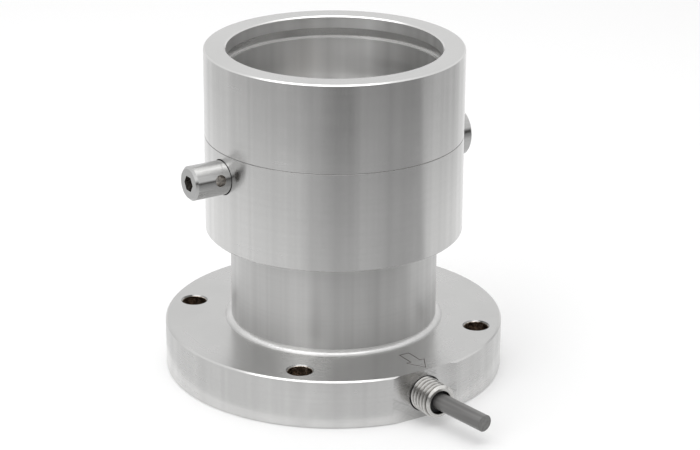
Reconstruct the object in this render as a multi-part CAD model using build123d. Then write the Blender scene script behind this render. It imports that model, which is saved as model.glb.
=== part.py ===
from build123d import *
import os
from math import cos, pi, radians, sin, sqrt, tan

# Flange-mounted weighing load cell with a bearing seat on top.
# Millimetres, +Z up. The origin is the centre of the flange's underside.
# The cable leaves toward -Y and the cross pin lies along X, with its head at +X.

# Whole cell
overall_h = 117.0

# Flange
flange_d = 120.0
flange_t = 17.5
flange_edge = 0.5
flat_width = 26.0
bolt_hole_d = 8.5
bolt_hole_rim = 0.5
bolt_count = 4
bolt_edge = 8.25

# Cavity under the flange and its cover
cavity_d = 40.0
cavity_roof_t = 3.0
cover_d = 65.0
cover_t = 2.2
cover_set_back = 0.3
cover_gap = 0.2
cover_screw_count = 3
cover_screw_edge = 3.3
cover_screw_d = 3.0
cover_screw_l = 8.0
cover_head_d = 5.6
cover_socket_af = 2.0
cover_socket_t = 1.0
seal_margin = 2.5
seal_groove_w = 2.2
seal_groove_t = 1.2
seal_squeeze = 0.15

# Bearing seat in the top of the housing
seat_d = 75.0
seat_l = 16.0
ring_groove_depth = 1.5
ring_groove_w = 3.7
ring_land = 4.4
shoulder_w = 4.5
shoulder_t = 4.9

# Housing: sleeve below, bearing ring above
housing_wall = 7.75
housing_edge = 0.45
sleeve_lift = 33.5
seam_edge = 0.15
spigot_wall = 4.0
spigot_l = 6.9

# Neck and its weld
neck_gap = 1.0
neck_wall = 4.0
neck_below_pin = 11.5
neck_edge = 0.5
weld_foot = 2.2
weld_rise = 1.5
weld_crown = 0.22

# Cross pin
pin_d = 12.0
pin_drop = 15.4
pin_reach = 12.95
pin_edge = 0.8
pin_hole_gap = 0.3
pin_head_d = 18.5
pin_head_t = 8.3
pin_head_edge = 0.7
head_seat_cut = 0.65
head_seat_gap = 0.8
pin_socket_af = 5.0
pin_socket_t = 5.0
cross_hole_d = 4.0
cross_hole_reach = 3.6
cross_hole_tilt = 10.0

# Sensing beam
foot_t = 8.0
foot_gap = 0.7
beam_x = 26.0
beam_y = 15.0
beam_blend = 2.5
eye_wall = 3.5
window_wall = 2.0
window_rise = 10.5
window_share = 0.8
window_slot = 4.0
beam_screw_count = 4
beam_screw_edge = 5.8
beam_screw_d = 5.0
beam_screw_l = 19.0
beam_screw_gap = 0.5
beam_head_d = 8.5
beam_head_t = 5.0
beam_socket_af = 4.0
beam_socket_t = 2.5

# Bushes and spacers on the pin
bush_wall = 2.0
bush_l = 9.0
bush_collar_w = 1.5
bush_collar_t = 1.5
running_gap = 0.05
spacer_wall = 2.2
spacer_gap = 0.2

# Strain gauges, their coating and leads
gauge_x = 6.0
gauge_z = 9.0
gauge_t = 0.2
coating_x = 12.0
coating_margin = 1.0
coating_t = 1.2
lead_d = 1.2
lead_gap = 0.1
lead_drop = 1.3
lead_hole_d = 5.0
lead_offset = 5.5

# Terminal board
board_gap = 3.0
board_t = 1.6
standoff_d = 4.5
standoff_t = 2.4
standoff_edge = 3.0
standoff_count = 3
board_screw_d = 2.0
board_screw_bite = 1.5
board_head_d = 3.8
board_head_t = 1.2
resistor_x = 3.2
resistor_y = 1.6
resistor_t = 0.9
resistor_count = 4
resistor_pitch = 5.0
resistor_row_y = 5.0

# Cable nipple and cable
nipple_z = 8.7
nipple_d = 12.0
nipple_reach = 9.225
nipple_bite = 10.575
nipple_edge_r = 0.8
nipple_edge_l = 1.0
nipple_bore_gap = 0.4
mouth_wall = 1.9
mouth_l = 9.8
mouth_edge = 0.25
seal_recess = 1.6
root_seal_w = 0.45
root_seal_t = 1.6
channel_d = 8.0
thread_gap = 0.05
ferrule_wall = 0.8
ferrule_l = 5.4
core_d = 1.1
core_spread = 0.75
core_pitch = 3.0
core_pad_y = -10.0
core_rise = 3.6
core_entry = 3.0
cable_d = 5.9
cable_route = [
    (0.0, -40.0, 8.7),
    (0.0, -58.0, 8.7),
    (1.1, -68.6, 8.4),
    (4.2, -87.5, 7.9),
]

# Places along and across the flange
flange_r = flange_d / 2
flat_y = -sqrt(flange_r**2 - (flat_width / 2) ** 2)
bolt_pcd = flange_d - 2 * bolt_edge
recess_d = cover_d + 2 * cover_gap
recess_t = cover_set_back + cover_t
cover_head_t = (cover_head_d - cover_screw_d) / 2
cover_screw_pcd = cover_d - 2 * cover_screw_edge
seal_ring_d = cavity_d + 2 * seal_margin
cavity_top_z = flange_t - cavity_roof_t
board_d = cavity_d - 2 * board_gap
standoff_pcd = board_d - 2 * standoff_edge
board_top_z = cavity_top_z - standoff_t
board_bottom_z = board_top_z - board_t
nipple_front = nipple_reach - flat_y
nipple_root = -flat_y - nipple_bite
nipple_bore_d = cable_d + 2 * nipple_bore_gap
mouth_d = nipple_d - 2 * mouth_wall
root_seal_d = nipple_d + 2 * root_seal_w

# Heights and widths of the housing, neck and pin
housing_d = seat_d + 2 * housing_wall
spigot_d = seat_d + 2 * spigot_wall
shoulder_d = seat_d - 2 * shoulder_w
ring_groove_d = seat_d + 2 * ring_groove_depth
sleeve_bottom_z = flange_t + sleeve_lift
seat_bottom_z = overall_h - ring_land - ring_groove_w - seat_l
seam_z = seat_bottom_z - spigot_l
pin_z = seat_bottom_z - pin_drop
pin_end_x = housing_d / 2 + pin_reach
head_seat_x = housing_d / 2 - head_seat_cut
cross_hole_x = housing_d / 2 + cross_hole_reach
sleeve_bore_d = seat_d
neck_d = sleeve_bore_d - 2 * neck_gap
neck_top_z = pin_z - neck_below_pin

# Places on the sensing beam
foot_d = neck_d - 2 * neck_wall - 2 * foot_gap
foot_top_z = flange_t + foot_t
beam_screw_pcd = foot_d - 2 * beam_screw_edge
lead_hole_y = beam_y / 2 + lead_offset
bush_d = pin_d + 2 * bush_wall
bush_collar_d = bush_d + 2 * bush_collar_w
spacer_d = pin_d + 2 * pin_hole_gap + 2 * spacer_wall
eye_d = bush_d + 2 * eye_wall
eye_face_x = beam_x / 2
window_d = beam_y - 2 * window_wall
free_l = pin_z - eye_d / 2 - foot_top_z
window_z = (foot_top_z + window_rise, foot_top_z + window_share * free_l)
coating_bottom_z = window_z[0] - gauge_z / 2 - coating_margin
coating_top_z = window_z[1] + gauge_z / 2 + coating_margin

UP = Plane.XY
OUT_OF_NOZZLE = Plane(origin=(0, 0, nipple_z), x_dir=(1, 0, 0), z_dir=(0, -1, 0))
ALONG_PIN = Plane(origin=(0, 0, pin_z), x_dir=(0, 1, 0), z_dir=(1, 0, 0))
LOW = (Align.CENTER, Align.CENTER, Align.MIN)


def turned(corners, plane=UP):
    """Solid turned about the plane's Z from (radius, height) corners."""
    outline = Plane.XZ * Polyline(*corners, close=True)
    return plane * revolve(make_face(outline), Axis.Z)


def rod(diameter, start, end, plane=UP, x=0.0, y=0.0):
    """Round bar along the plane's Z between two heights."""
    return plane * (Pos(x, y, start) * Cylinder(diameter / 2, end - start, align=LOW))


def hex_rod(across_flats, start, end, plane=UP, x=0.0, y=0.0):
    """Hexagonal bar along the plane's Z between two heights."""
    outline = Pos(x, y, start) * RegularPolygon(across_flats / 2, 6, major_radius=False)
    return plane * extrude(outline, end - start)


def ring_places(pcd, count, start_angle):
    """Points spread evenly on a circle."""
    angles = [radians(start_angle + 360 * i / count) for i in range(count)]
    return [(pcd / 2 * cos(a), pcd / 2 * sin(a)) for a in angles]


def wire(diameter, points, radii):
    """Round wire along straight runs joined by tangent arcs."""
    path = FilletPolyline(*points, radius=radii)
    start = Plane(origin=path @ 0, z_dir=path % 0)
    return sweep(start * Circle(diameter / 2), path=path)


def largest_radii(points):
    """Arc radius at each corner: 0.45 of the shorter run over the tangent of half the turn."""
    places = [Vector(*p) for p in points]
    runs = [b - a for a, b in zip(places, places[1:])]
    radii = []
    for before, after in zip(runs, runs[1:]):
        half_turn = radians(before.get_angle(after)) / 2
        radii.append(0.45 * min(before.length, after.length) / tan(half_turn))
    return radii


bolt_places = ring_places(bolt_pcd, bolt_count, 45)
beam_screw_places = ring_places(beam_screw_pcd, beam_screw_count, 45)
cover_screw_places = ring_places(cover_screw_pcd, cover_screw_count, 90)
standoff_places = ring_places(standoff_pcd, standoff_count, 0)
lead_places = [(0, lead_hole_y), (0, -lead_hole_y)]


def make_base_flange():
    """Turned flange with its cavity, milled flat, bolt holes and tapped holes."""
    groove_in = (seal_ring_d - seal_groove_w) / 2
    groove_out = (seal_ring_d + seal_groove_w) / 2
    groove_z = recess_t + seal_groove_t
    body = turned([
        (0, cavity_top_z),
        (cavity_d / 2, cavity_top_z),
        (cavity_d / 2, recess_t),
        (groove_in, recess_t),
        (groove_in, groove_z),
        (groove_out, groove_z),
        (groove_out, recess_t),
        (recess_d / 2, recess_t),
        (recess_d / 2, 0),
        (flange_r - flange_edge, 0),
        (flange_r, flange_edge),
        (flange_r, flange_t - flange_edge),
        (flange_r - flange_edge, flange_t),
        (0, flange_t),
    ])
    body -= Pos(0, flat_y, 0) * Box(
        flange_d, flange_d, 3 * flange_t, align=(Align.CENTER, Align.MAX, Align.CENTER)
    )
    for x, y in bolt_places:
        body -= rod(bolt_hole_d, 0, flange_t, x=x, y=y)
        rim_top = bolt_hole_d / 2 + bolt_hole_rim
        rim = Cone(bolt_hole_d / 2, rim_top, bolt_hole_rim, align=LOW)
        body -= Pos(x, y, flange_t - bolt_hole_rim) * rim
    for x, y in beam_screw_places:
        bottom = foot_top_z - beam_screw_l - beam_screw_gap
        body -= rod(beam_screw_d + 2 * thread_gap, bottom, flange_t, x=x, y=y)
    for x, y in cover_screw_places:
        top = cover_set_back + cover_screw_l + thread_gap
        body -= rod(cover_screw_d + 2 * thread_gap, recess_t, top, x=x, y=y)
    for x, y in standoff_places:
        top = cavity_top_z + board_screw_bite + thread_gap
        body -= rod(board_screw_d + 2 * thread_gap, cavity_top_z, top, x=x, y=y)
    for x, y in lead_places:
        body -= rod(lead_hole_d, cavity_top_z, flange_t, x=x, y=y)
    body -= rod(channel_d, cavity_d / 4, nipple_root, OUT_OF_NOZZLE)
    body -= rod(nipple_d + 2 * thread_gap, nipple_root, flange_r, OUT_OF_NOZZLE)
    body -= rod(root_seal_d, -flat_y - root_seal_t, flange_r, OUT_OF_NOZZLE)
    return body


def make_neck_tube():
    """Plain tube on the flange, with eased edges at its hidden top."""
    outer = neck_d / 2
    inner = outer - neck_wall
    top = neck_top_z
    return turned([
        (inner, flange_t),
        (outer, flange_t),
        (outer, top - neck_edge),
        (outer - neck_edge, top),
        (inner + neck_edge, top),
        (inner, top - neck_edge),
    ])


def make_neck_weld():
    """Fillet weld with a slightly crowned face round the foot of the neck."""
    root = (neck_d / 2, flange_t)
    toe = (neck_d / 2 + weld_foot, flange_t)
    crest = (neck_d / 2, flange_t + weld_rise)
    leg = sqrt(weld_foot**2 + weld_rise**2)
    crown = (
        (toe[0] + crest[0]) / 2 + weld_crown * weld_rise / leg,
        (toe[1] + crest[1]) / 2 + weld_crown * weld_foot / leg,
    )
    outline = Line(root, toe) + ThreePointArc(toe, crown, crest) + Line(crest, root)
    return revolve(make_face(Plane.XZ * outline), Axis.Z)


def head_spot_face():
    """Cut that gives the head of the pin a flat seat on the round housing."""
    return rod(pin_head_d + 2 * head_seat_gap, head_seat_x, housing_d, ALONG_PIN)


def make_pin_sleeve():
    """Lower housing: clears the neck, carries the pin and ends in the bearing shoulder."""
    outer = housing_d / 2
    inner = sleeve_bore_d / 2
    body = turned([
        (inner, sleeve_bottom_z + housing_edge),
        (inner + housing_edge, sleeve_bottom_z),
        (outer - housing_edge, sleeve_bottom_z),
        (outer, sleeve_bottom_z + housing_edge),
        (outer, seam_z - seam_edge),
        (outer - seam_edge, seam_z),
        (spigot_d / 2, seam_z),
        (spigot_d / 2, seat_bottom_z),
        (shoulder_d / 2, seat_bottom_z),
        (shoulder_d / 2, seat_bottom_z - shoulder_t),
        (inner, seat_bottom_z - shoulder_t),
    ])
    body -= rod(pin_d + 2 * pin_hole_gap, -housing_d, housing_d, ALONG_PIN)
    return body - head_spot_face()


def make_bearing_ring():
    """Upper housing: bearing seat, retaining-ring groove and chamfered rim."""
    outer = housing_d / 2
    seat = seat_d / 2
    groove_low = seat_bottom_z + seat_l
    groove_high = groove_low + ring_groove_w
    body = turned([
        (spigot_d / 2, seam_z),
        (outer - seam_edge, seam_z),
        (outer, seam_z + seam_edge),
        (outer, overall_h - housing_edge),
        (outer - housing_edge, overall_h),
        (seat + housing_edge, overall_h),
        (seat, overall_h - housing_edge),
        (seat, groove_high),
        (ring_groove_d / 2, groove_high),
        (ring_groove_d / 2, groove_low),
        (seat, groove_low),
        (seat, seat_bottom_z),
        (spigot_d / 2, seat_bottom_z),
    ])
    return body - head_spot_face()


def make_clevis_pin():
    """Headed pin with a hex socket and a tilted cross hole in its free end."""
    shank = pin_d / 2
    head = pin_head_d / 2
    head_end_x = head_seat_x + pin_head_t
    body = turned([
        (0, -pin_end_x),
        (shank - pin_edge, -pin_end_x),
        (shank, -pin_end_x + pin_edge),
        (shank, head_seat_x),
        (head, head_seat_x),
        (head, head_end_x - pin_head_edge),
        (head - pin_head_edge, head_end_x),
        (0, head_end_x),
    ], ALONG_PIN)
    body -= hex_rod(pin_socket_af, -pin_end_x, -pin_end_x + pin_socket_t, ALONG_PIN)
    tilt = radians(cross_hole_tilt)
    across = Plane(origin=(-cross_hole_x, 0, pin_z), x_dir=(1, 0, 0), z_dir=(0, -cos(tilt), sin(tilt)))
    body -= rod(cross_hole_d, -pin_d, pin_d, across)
    return body


def make_pin_bush(side):
    """Flanged bush pressed into one side of the beam's eye."""
    bore = pin_d / 2 + running_gap
    body = turned([
        (bore, eye_face_x - bush_l),
        (bush_d / 2, eye_face_x - bush_l),
        (bush_d / 2, eye_face_x),
        (bush_collar_d / 2, eye_face_x),
        (bush_collar_d / 2, eye_face_x + bush_collar_t),
        (bore, eye_face_x + bush_collar_t),
    ], ALONG_PIN)
    return body if side > 0 else mirror(body, Plane.YZ)


def make_pin_spacer(side):
    """Tube on the pin between a bush and the wall of the sleeve."""
    start = eye_face_x + bush_collar_t
    wall_x = sqrt((sleeve_bore_d / 2) ** 2 - (spacer_d / 2) ** 2)
    body = rod(spacer_d, start, wall_x - spacer_gap, ALONG_PIN)
    body -= rod(pin_d + 2 * pin_hole_gap, start, wall_x, ALONG_PIN)
    return body if side > 0 else mirror(body, Plane.YZ)


def make_sensing_beam():
    """Round foot, column with two joined window holes, and an eye for the pin."""
    column = Pos(0, 0, foot_top_z) * Box(beam_x, beam_y, pin_z - foot_top_z, align=LOW)
    body = rod(foot_d, flange_t, foot_top_z) + column
    corner = body.edges().filter_by(Axis.X).group_by(Axis.Z)[0]
    body = fillet(corner, beam_blend)
    body += rod(eye_d, -eye_face_x, eye_face_x, ALONG_PIN)
    body -= rod(bush_d, -beam_x, beam_x, ALONG_PIN)
    for z in window_z:
        body -= Pos(0, 0, z) * Rot(0, 90, 0) * Cylinder(window_d / 2, 2 * beam_x)
    low, high = window_z
    body -= Pos(0, 0, (low + high) / 2) * Box(2 * beam_x, window_slot, high - low)
    for x, y in beam_screw_places:
        body -= rod(beam_screw_d + 2 * thread_gap, flange_t, foot_top_z, x=x, y=y)
    for x, y in lead_places:
        body -= rod(lead_hole_d, flange_t, foot_top_z + beam_blend, x=x, y=y)
    return body


def make_beam_screws():
    """Socket screws that hold the foot of the beam on the flange."""
    screws = []
    for x, y in beam_screw_places:
        screw = rod(beam_screw_d, foot_top_z - beam_screw_l, foot_top_z, x=x, y=y)
        screw += rod(beam_head_d, foot_top_z, foot_top_z + beam_head_t, x=x, y=y)
        socket_z = foot_top_z + beam_head_t - beam_socket_t
        screw -= hex_rod(beam_socket_af, socket_z, foot_top_z + beam_head_t, x=x, y=y)
        screws.append(screw)
    return screws


def make_strain_gauges():
    """One foil gauge over each window, on both faces of the column."""
    gauges = []
    for side in (-1, 1):
        for z in window_z:
            y = side * (beam_y + gauge_t) / 2
            gauges.append(Pos(0, y, z) * Box(gauge_x, gauge_t, gauge_z))
    return gauges


def make_gauge_coating():
    """Soft pad over the two gauges of each face, with a rounded outer edge."""
    pads = []
    height = coating_top_z - coating_bottom_z
    for side in (-1, 1):
        face = Plane(origin=(0, side * beam_y / 2, (coating_top_z + coating_bottom_z) / 2),
                     x_dir=(1, 0, 0), z_dir=(0, side, 0))
        pad = face * extrude(RectangleRounded(coating_x, height, coating_x / 5), coating_t)
        for gauge in make_strain_gauges():
            pad -= gauge
        pads.append(pad)
    return pads


def make_gauge_leads():
    """Lead bundle of each face: down the column and through the foot to the board."""
    leads = []
    for side in (-1, 1):
        near = side * (beam_y / 2 + lead_gap + lead_d / 2)
        far = side * lead_hole_y
        points = [
            (0, near, coating_bottom_z),
            (0, near, coating_bottom_z - lead_drop),
            (0, far, foot_top_z - lead_d / 2),
            (0, far, board_top_z),
        ]
        leads.append(wire(lead_d, points, largest_radii(points)))
    return leads


def make_terminal_board():
    """Round board under the roof of the cavity."""
    body = rod(board_d, board_bottom_z, board_top_z)
    for x, y in standoff_places:
        body -= rod(board_screw_d + 2 * thread_gap, board_bottom_z, board_top_z, x=x, y=y)
    return body


def make_board_standoffs():
    """Tubes between the board and the roof of the cavity."""
    posts = []
    for x, y in standoff_places:
        post = rod(standoff_d, board_top_z, cavity_top_z, x=x, y=y)
        post -= rod(board_screw_d + 2 * thread_gap, board_top_z, cavity_top_z, x=x, y=y)
        posts.append(post)
    return posts


def make_board_screws():
    """Small screws through the board and standoffs into the roof."""
    screws = []
    for x, y in standoff_places:
        screw = rod(board_head_d, board_bottom_z - board_head_t, board_bottom_z, x=x, y=y)
        screw += rod(board_screw_d, board_bottom_z, cavity_top_z + board_screw_bite, x=x, y=y)
        screws.append(screw)
    return screws


def make_trim_resistors():
    """Row of small resistors on the underside of the board."""
    z = board_bottom_z - resistor_t / 2
    places = [resistor_pitch * (i - (resistor_count - 1) / 2) for i in range(resistor_count)]
    return [Pos(x, resistor_row_y, z) * Box(resistor_x, resistor_y, resistor_t) for x in places]


def make_cable_nipple():
    """Nipple screwed into the flat, with a wide mouth in front of the cable bore."""
    outer = nipple_d / 2
    mouth = mouth_d / 2
    return turned([
        (nipple_bore_d / 2, nipple_root),
        (outer - nipple_edge_r, nipple_root),
        (outer, nipple_root + nipple_edge_l),
        (outer, nipple_front - nipple_edge_l),
        (outer - nipple_edge_r, nipple_front),
        (mouth + mouth_edge, nipple_front),
        (mouth, nipple_front - mouth_edge),
        (mouth, nipple_front - mouth_l),
        (nipple_bore_d / 2, nipple_front - mouth_l),
    ], OUT_OF_NOZZLE)


def make_cable():
    """Grey cable from its crimp inside the flange to its square-cut end."""
    radii = largest_radii(cable_route)
    print("cable radii", [round(r, 1) for r in radii])
    body = wire(cable_d, cable_route, radii)
    length = FilletPolyline(*cable_route, radius=radii).length
    section = pi * cable_d**2 / 4
    print("cable length", round(length, 2), "volume ratio", round(body.volume / section / length, 4))
    return body


def make_cable_seal(cable):
    """Rubber plug squeezed between the mouth of the nipple and the cable."""
    start = nipple_front - mouth_l
    return rod(mouth_d, start, nipple_front - seal_recess, OUT_OF_NOZZLE) - cable


def make_nipple_seal():
    """Round seal at the root of the nipple, in its counterbore in the flat."""
    place = OUT_OF_NOZZLE * Plane.XZ
    middle = Pos((nipple_d + root_seal_w) / 2, -flat_y - root_seal_t / 2)
    width = root_seal_w - thread_gap
    outline = middle * RectangleRounded(width, root_seal_t - 2 * thread_gap, width / 3)
    axis = Axis((0, 0, nipple_z), (0, -1, 0))
    return revolve(place * outline, axis)


def make_cable_ferrule():
    """Crimped ring on the end of the cable, behind the nipple."""
    start = nipple_root - ferrule_l
    body = rod(cable_d + 2 * ferrule_wall, start, nipple_root, OUT_OF_NOZZLE)
    return body - rod(cable_d, start, nipple_root, OUT_OF_NOZZLE)


def make_cable_cores():
    """Four cores from the end of the cable to their pads under the board."""
    start_y = cable_route[0][1]
    entry_y = -cavity_d / 2 - core_entry
    starts = [(-1, 1), (-1, -1), (1, -1), (1, 1)]
    cores = []
    for i, (across, above) in enumerate(starts):
        x = across * core_spread
        z = nipple_z + above * core_spread
        pad_x = core_pitch * (i - 1.5)
        points = [
            (x, start_y, z),
            (x, entry_y, z),
            (pad_x, core_pad_y, board_bottom_z - core_rise),
            (pad_x, core_pad_y, board_bottom_z),
        ]
        cores.append(wire(core_d, points, largest_radii(points)))
    return cores


def make_bottom_cover():
    """Disc that closes the cavity, with countersunk screw holes."""
    body = rod(cover_d, cover_set_back, recess_t)
    for x, y in cover_screw_places:
        body -= rod(cover_screw_d + 2 * thread_gap, cover_set_back, recess_t, x=x, y=y)
        body -= Pos(x, y, cover_set_back) * countersink(thread_gap)
    return body


def countersink(gap):
    """Cone of a countersunk head, with a clearance all round."""
    wide = cover_head_d / 2 + gap
    narrow = cover_screw_d / 2 + gap
    return Cone(wide, narrow, cover_head_t, align=LOW)


def make_cover_seal():
    """Seal ring in its groove above the cover, squeezed flat by it."""
    outline = Pos(seal_ring_d / 2, recess_t + seal_groove_t / 2) * RectangleRounded(
        seal_groove_w - 2 * seal_squeeze, seal_groove_t, seal_groove_t / 3
    )
    return revolve(Plane.XZ * outline, Axis.Z)


def make_cover_screws():
    """Countersunk screws of the cover, with a hex socket."""
    screws = []
    for x, y in cover_screw_places:
        screw = Pos(x, y, cover_set_back) * countersink(0)
        screw += rod(cover_screw_d, cover_set_back + cover_head_t, cover_set_back + cover_screw_l, x=x, y=y)
        screw -= hex_rod(cover_socket_af, cover_set_back, cover_set_back + cover_socket_t, x=x, y=y)
        screws.append(screw)
    return screws


cable = make_cable()
nodes = {
    "base_flange": make_base_flange(),
    "neck_tube": make_neck_tube(),
    "neck_weld": make_neck_weld(),
    "pin_sleeve": make_pin_sleeve(),
    "bearing_ring": make_bearing_ring(),
    "clevis_pin": make_clevis_pin(),
    "pin_bush_left": make_pin_bush(-1),
    "pin_bush_right": make_pin_bush(1),
    "pin_spacer_left": make_pin_spacer(-1),
    "pin_spacer_right": make_pin_spacer(1),
    "sensing_beam": make_sensing_beam(),
    "beam_screws": make_beam_screws(),
    "strain_gauges": make_strain_gauges(),
    "gauge_coating": make_gauge_coating(),
    "gauge_leads": make_gauge_leads(),
    "terminal_board": make_terminal_board(),
    "board_standoffs": make_board_standoffs(),
    "board_screws": make_board_screws(),
    "trim_resistors": make_trim_resistors(),
    "cable_nipple": make_cable_nipple(),
    "cable_seal": make_cable_seal(cable),
    "nipple_seal": make_nipple_seal(),
    "cable_ferrule": make_cable_ferrule(),
    "cable_cores": make_cable_cores(),
    "cable": cable,
    "bottom_cover": make_bottom_cover(),
    "cover_seal": make_cover_seal(),
    "cover_screws": make_cover_screws(),
}

os.makedirs("parts", exist_ok=True)
for name, shape in nodes.items():
    solid = Compound(children=shape) if isinstance(shape, list) else shape
    export_step(solid, f"parts/{name}.step")
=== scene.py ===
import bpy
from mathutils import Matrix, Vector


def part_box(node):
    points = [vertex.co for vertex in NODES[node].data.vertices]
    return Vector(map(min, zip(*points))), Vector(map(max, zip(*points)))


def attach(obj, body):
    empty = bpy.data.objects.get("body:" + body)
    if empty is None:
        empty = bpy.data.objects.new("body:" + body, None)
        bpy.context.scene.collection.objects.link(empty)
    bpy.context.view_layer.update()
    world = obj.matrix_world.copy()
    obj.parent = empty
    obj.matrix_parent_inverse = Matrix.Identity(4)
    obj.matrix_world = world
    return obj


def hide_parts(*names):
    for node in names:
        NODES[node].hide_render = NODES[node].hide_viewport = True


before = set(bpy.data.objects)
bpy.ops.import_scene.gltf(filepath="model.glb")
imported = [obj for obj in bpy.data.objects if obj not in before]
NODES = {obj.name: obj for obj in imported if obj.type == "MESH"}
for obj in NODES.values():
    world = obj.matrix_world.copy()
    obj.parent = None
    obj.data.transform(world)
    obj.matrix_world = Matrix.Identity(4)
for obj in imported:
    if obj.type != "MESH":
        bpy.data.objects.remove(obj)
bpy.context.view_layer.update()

from collections import namedtuple
from math import cos, pi, radians, sin

import bpy
from bpy.props import FloatProperty, FloatVectorProperty, IntProperty, PointerProperty
from mathutils import Quaternion, Vector

bl_info = {
    "name": "Weighing load cell",
    "version": (1, 0, 0),
    "blender": (4, 5, 0),
    "location": "3D View > Sidebar > Load cell",
    "description": "Dresses the solids of a load cell with finishes, weld, thread and cable",
    "category": "Object",
}

MM = 0.001
REPLACED = {"cable", "neck_weld", "cable_nipple"}

# Places read from the solids
FLANGE_LOW, FLANGE_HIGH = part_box("base_flange")
NECK_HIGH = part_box("neck_tube")[1]
WELD_LOW, WELD_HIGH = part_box("neck_weld")
NIPPLE_LOW, NIPPLE_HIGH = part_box("cable_nipple")
PIN_LOW, PIN_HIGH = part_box("clevis_pin")
FLANGE_TOP = FLANGE_HIGH.z
FLAT_Y = FLANGE_LOW.y
NECK_R = NECK_HIGH.x
NIPPLE_R = (NIPPLE_HIGH.x - NIPPLE_LOW.x) / 2
NIPPLE_Z = (NIPPLE_HIGH.z + NIPPLE_LOW.z) / 2
NIPPLE_CENTRE = (0.0, 0.0, NIPPLE_Z)
PIN_CENTRE = (0.0, 0.0, (PIN_LOW.z + PIN_HIGH.z) / 2)

# Features of the solids at which a finish changes
BOLT_CIRCLE_R = 51.75 * MM
BOLT_XY = BOLT_CIRCLE_R * sin(pi / 4)
BOLT_HOLE_R = 4.25 * MM
SEAM_Z = 86 * MM
SEAM_HALF = 0.22 * MM
SEAM_FLOOR_R = 45 * MM
BORE_R = 38.5 * MM
BORE_TOP = 116.5 * MM
GROOVE_R = 39 * MM
GROOVE_SPAN = (100 * MM, 112.8 * MM)  # heights between which only the groove is so wide
CROSS_HOLE_X = -48.85 * MM
CROSS_HOLE_R = 2.0 * MM
CROSS_HOLE_TILT = radians(10)
SOCKET_R = 2.95 * MM
SOCKET_DEPTH = 5.2 * MM
NIPPLE_MOUTH_R = 4.1 * MM

# The cable's route, from inside the flange to its cut end
CABLE_ROUTE = [
    (0.0, -0.0400, 0.0087),
    (0.0, -0.0580, 0.0087),
    (0.0011, -0.0686, 0.0084),
    (0.0042, -0.0875, 0.0079),
]

# The photograph's camera: where it stands and what it looks at
CAMERA_TARGET = Vector((4.784, -3.080, 51.07)) * MM
CAMERA_DISTANCE = 854.3 * MM
CAMERA_AZIMUTH = radians(237.225)
CAMERA_ELEVATION = radians(20.813)
CAMERA_ROLL = radians(-0.385)
CAMERA_LENS = 124.2
CAMERA_SENSOR = 36.0

# The studio's bowl of cards, as (radius, height) in metres
BOWL = [
    (0.066, 0.0005), (0.15, 0.001), (0.26, 0.05), (0.45, 0.20), (0.70, 0.50), (0.85, 0.95),
]

# Tones of the cards by degrees from behind the camera, from its left to its right. The far ones
# show in the upper ring, the near ones in the sleeve and neck, the table's in the flange's side.
FAR_TONES = [
    (-170, 0.98), (-120, 0.70), (-60, 0.55), (-14, 0.43), (-6, 0.31),
    (14, 0.25), (20, 0.38), (74, 0.30), (78, 0.54), (120, 0.54), (155, 0.95),
]
NEAR_TONES = [
    (-170, 0.98), (-110, 0.98), (-60, 0.84), (-20, 0.68), (-10, 0.53),
    (14, 0.50), (20, 0.58), (50, 0.45), (74, 0.48), (79, 0.80), (155, 0.95),
]
TABLE_TONES = [
    (-180, 0.84), (-14, 0.78), (-12, 0.88), (-10, 0.88),
    (-8, 0.74), (20, 0.72), (80, 0.78), (180, 0.84),
]
HORIZON_TONE = (0.07, 0.068, 0.065, 1)
SKY_TONE = (0.92, 0.92, 0.92, 1)

# Lamps: name, place, size and power
LAMPS = (
    ("overhead", (-0.05, 0.05, 0.95), 1.1, 6.0),
    ("left_box", (-0.9, -0.35, 0.55), 0.6, 2.2),
)
LAMP_AIM = Vector((0, 0, 0.05))


class LoadCellLooks(bpy.types.PropertyGroup):
    """Sizes and colours of what is added to the solids."""

    steel: FloatVectorProperty(
        name="Steel", description="Colour of the turned stainless steel", subtype="COLOR",
        size=4, min=0, max=1, default=(0.712, 0.709, 0.702, 1))
    pin_steel: FloatVectorProperty(
        name="Pin steel", description="Colour of the ground cross pin", subtype="COLOR",
        size=4, min=0, max=1, default=(0.53, 0.53, 0.525, 1))
    bronze: FloatVectorProperty(
        name="Bronze", description="Colour of the bushes in the eye", subtype="COLOR",
        size=4, min=0, max=1, default=(0.62, 0.38, 0.16, 1))
    jacket: FloatVectorProperty(
        name="Cable jacket", description="Colour of the cable's jacket", subtype="COLOR",
        size=4, min=0, max=1, default=(0.15, 0.148, 0.145, 1))
    cable_d: FloatProperty(
        name="Cable", description="Outer diameter of the cable", subtype="DISTANCE", unit="LENGTH",
        default=5.9 * MM, min=1 * MM, max=12 * MM)
    thread_pitch: FloatProperty(
        name="Thread pitch", description="Pitch of the nipple's thread", subtype="DISTANCE",
        unit="LENGTH", default=1.75 * MM, min=0.5 * MM, max=3 * MM)
    thread_depth: FloatProperty(
        name="Thread depth", description="Depth of the nipple's thread", subtype="DISTANCE",
        unit="LENGTH", default=0.85 * MM, min=0.1 * MM, max=2 * MM)
    weld_ripples: IntProperty(
        name="Weld ripples", description="Number of ripples round the weld",
        default=150, min=20, max=400)
    ripple_height: FloatProperty(
        name="Ripple height", description="How far each ripple of the weld stands out",
        subtype="DISTANCE", unit="LENGTH", default=0.03 * MM, min=0, max=0.5 * MM)
    arrow_line: FloatProperty(
        name="Arrow line", description="Width of the etched line of the arrow", subtype="DISTANCE",
        unit="LENGTH", default=0.50 * MM, min=0.05 * MM, max=1 * MM)


def looks():
    """The settings of this scene."""
    return bpy.context.scene.load_cell_looks


# Node materials

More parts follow.
